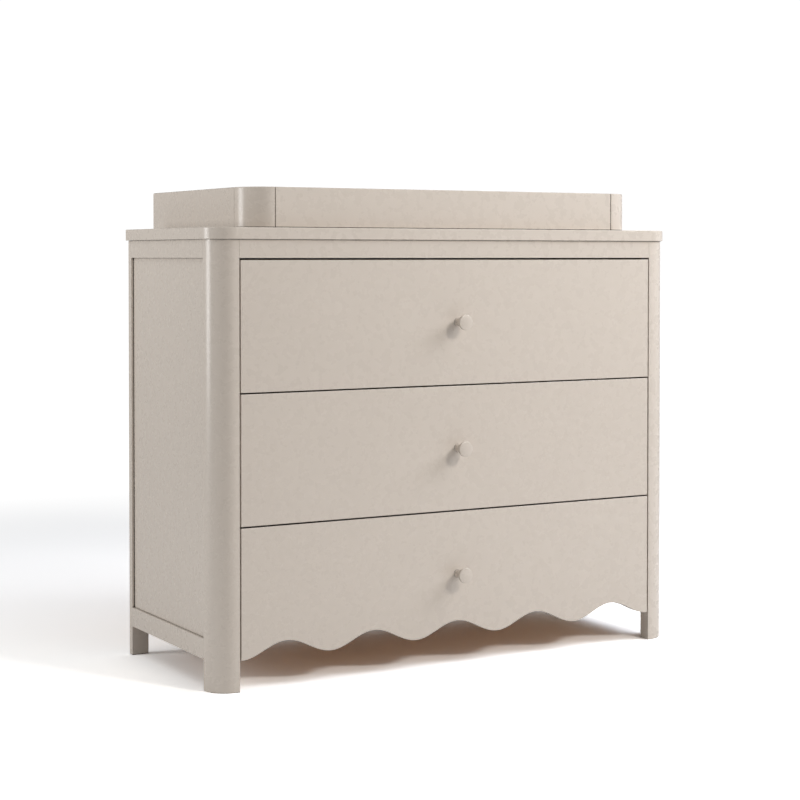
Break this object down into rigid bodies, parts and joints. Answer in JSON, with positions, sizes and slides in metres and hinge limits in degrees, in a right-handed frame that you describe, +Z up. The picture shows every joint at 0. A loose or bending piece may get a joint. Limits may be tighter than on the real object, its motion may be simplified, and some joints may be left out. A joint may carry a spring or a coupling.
{
  "type": "changing table",
  "caption": "Changing table: dresser of full-width drawers with round knobs, a wavy lower edge, round front posts and a lift-off tray for a changing pad.",
  "frame": {"origin": "on the floor, under the middle of the box round the whole table with its knobs and tray", "axes": "+X to the right as seen from the front, along the width; +Y to the back; +Z up. The drawers open along -Y."},
  "size_m": [1.125, 0.5404, 0.9953],
  "materials": {
    "painted_wood": "satin warm greige paint",
    "drawer_wood": "clear matt lacquer on pale solid wood",
    "hardboard": "smooth brown hardboard, unpainted",
    "zinc_steel": "zinc plated sheet steel"
  },
  "bodies": {
    "carcass": {"top_panel": "painted_wood", "front_top_rail": "painted_wood", "front_left_post": "painted_wood", "rear_left_leg": "painted_wood", "left_upper_rail": "painted_wood", "left_lower_rail": "painted_wood", "left_side_panel": "painted_wood", "left_runner_board": "drawer_wood", "front_right_post": "painted_wood", "rear_right_leg": "painted_wood", "right_upper_rail": "painted_wood", "right_lower_rail": "painted_wood", "right_side_panel": "painted_wood", "right_runner_board": "drawer_wood", "rear_top_rail": "painted_wood", "rear_bottom_rail": "painted_wood", "back_panel": "hardboard", "slide_1_left_cabinet_member": "zinc_steel", "slide_1_right_cabinet_member": "zinc_steel", "slide_2_left_cabinet_member": "zinc_steel", "slide_2_right_cabinet_member": "zinc_steel", "slide_3_left_cabinet_member": "zinc_steel", "slide_3_right_cabinet_member": "zinc_steel"},
    "drawer_1": {"drawer_1_front": "painted_wood", "drawer_1_knob": "painted_wood", "drawer_1_left_side": "drawer_wood", "drawer_1_right_side": "drawer_wood", "drawer_1_back": "drawer_wood", "drawer_1_bottom": "hardboard", "slide_1_left_drawer_member": "zinc_steel", "slide_1_right_drawer_member": "zinc_steel"},
    "slide_1_middle": {"slide_1_left_middle_member": "zinc_steel", "slide_1_right_middle_member": "zinc_steel"},
    "drawer_2": {"drawer_2_front": "painted_wood", "drawer_2_knob": "painted_wood", "drawer_2_left_side": "drawer_wood", "drawer_2_right_side": "drawer_wood", "drawer_2_back": "drawer_wood", "drawer_2_bottom": "hardboard", "slide_2_left_drawer_member": "zinc_steel", "slide_2_right_drawer_member": "zinc_steel"},
    "slide_2_middle": {"slide_2_left_middle_member": "zinc_steel", "slide_2_right_middle_member": "zinc_steel"},
    "drawer_3": {"drawer_3_front": "painted_wood", "drawer_3_knob": "painted_wood", "drawer_3_left_side": "drawer_wood", "drawer_3_right_side": "drawer_wood", "drawer_3_back": "drawer_wood", "drawer_3_bottom": "hardboard", "slide_3_left_drawer_member": "zinc_steel", "slide_3_right_drawer_member": "zinc_steel"},
    "slide_3_middle": {"slide_3_left_middle_member": "zinc_steel", "slide_3_right_middle_member": "zinc_steel"},
    "tray": {"tray_front": "painted_wood", "tray_back": "painted_wood", "tray_bottom": "painted_wood", "tray_left_side": "painted_wood", "tray_right_side": "painted_wood", "tray_left_corner": "painted_wood", "tray_right_corner": "painted_wood"}
  },
  "joints": [
    {"name": "drawer_1_slide", "type": "slide", "parent": "carcass", "child": "drawer_1", "axis": [0, -1, 0], "range_m": [0, 0.38]},
    {"name": "slide_1_middle_slide", "type": "slide", "parent": "carcass", "child": "slide_1_middle", "axis": [0, -1, 0], "range_m": [0, 0.19]},
    {"name": "drawer_2_slide", "type": "slide", "parent": "carcass", "child": "drawer_2", "axis": [0, -1, 0], "range_m": [0, 0.38]},
    {"name": "slide_2_middle_slide", "type": "slide", "parent": "carcass", "child": "slide_2_middle", "axis": [0, -1, 0], "range_m": [0, 0.19]},
    {"name": "drawer_3_slide", "type": "slide", "parent": "carcass", "child": "drawer_3", "axis": [0, -1, 0], "range_m": [0, 0.38]},
    {"name": "slide_3_middle_slide", "type": "slide", "parent": "carcass", "child": "slide_3_middle", "axis": [0, -1, 0], "range_m": [0, 0.19]},
    {"name": "tray_lift", "type": "slide", "parent": "carcass", "child": "tray", "axis": [0, 0, 1], "range_m": [0, 0.15]}
  ],
  "couplings": [
    {"joint": "slide_1_middle_slide", "follows": "drawer_1_slide", "ratio": 0.5},
    {"joint": "slide_2_middle_slide", "follows": "drawer_2_slide", "ratio": 0.5},
    {"joint": "slide_3_middle_slide", "follows": "drawer_3_slide", "ratio": 0.5}
  ]
}
